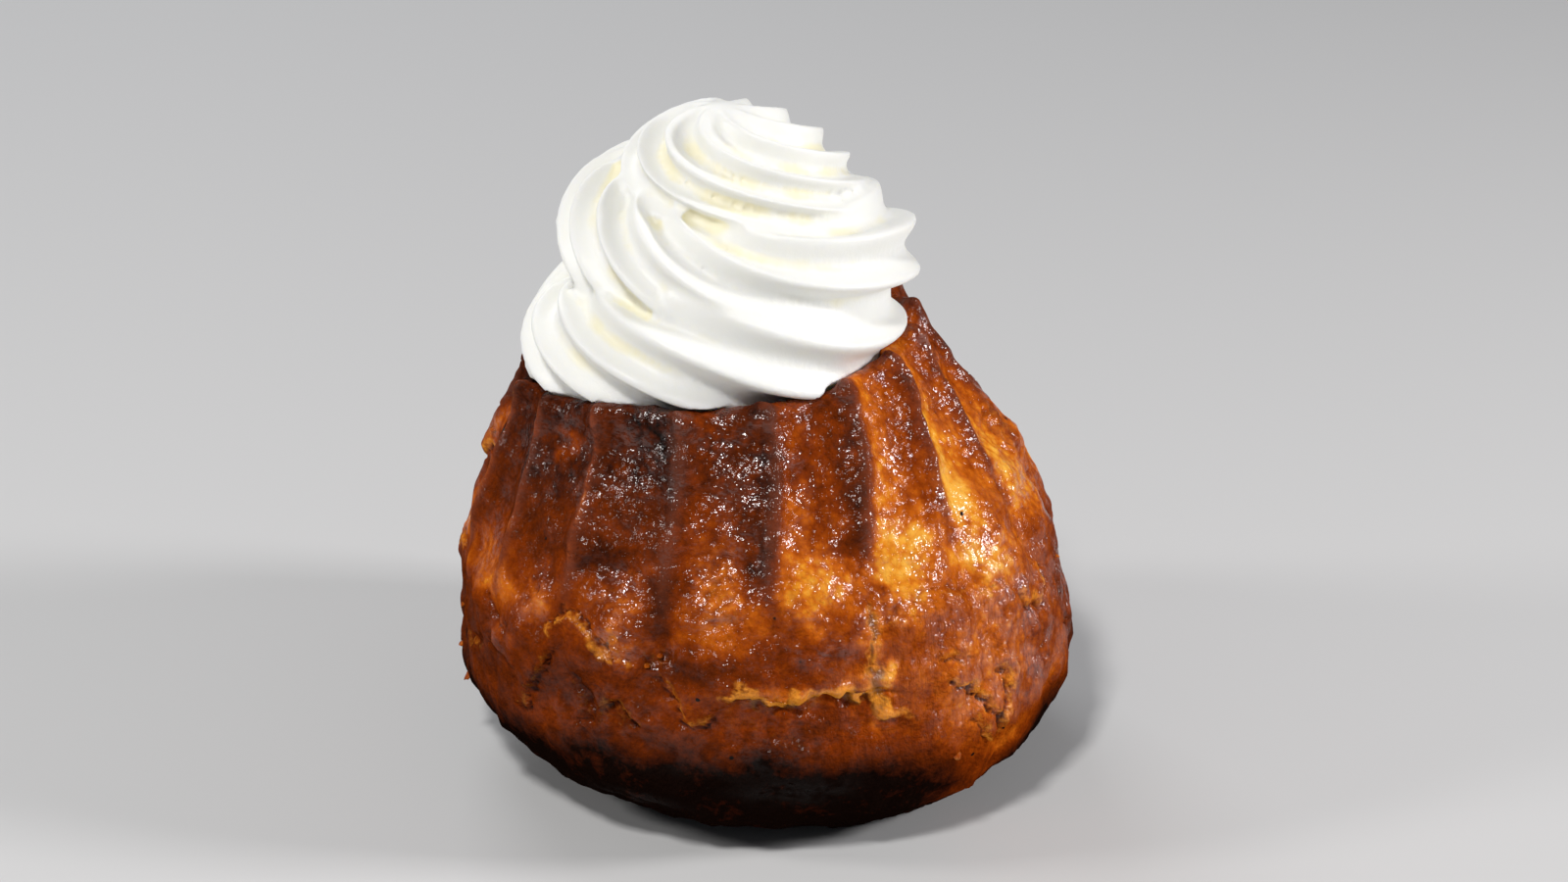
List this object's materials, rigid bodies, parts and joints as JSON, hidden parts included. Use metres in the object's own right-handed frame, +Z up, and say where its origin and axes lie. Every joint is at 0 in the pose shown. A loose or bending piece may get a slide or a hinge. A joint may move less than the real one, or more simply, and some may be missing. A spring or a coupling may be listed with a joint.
{
  "type": "rum baba",
  "caption": "Round-bellied fluted yeast cake soaked in syrup, leaning slightly, topped with a piped star swirl of whipped cream.",
  "frame": {"origin": "below the middle of the whole, on the plane it stands on", "axes": "+Z up from the base to the tip of the cream, -Y towards the pictured front, -X to the side it leans to"},
  "size_m": [0.0754, 0.0746, 0.0828],
  "materials": {
    "soaked_crust": "browned yeast crust, wet with syrup",
    "whipped_cream": "smooth piped cream"
  },
  "bodies": {
    "root": {"cake": "soaked_crust", "whipped_cream": "whipped_cream"}
  },
  "joints": []
}
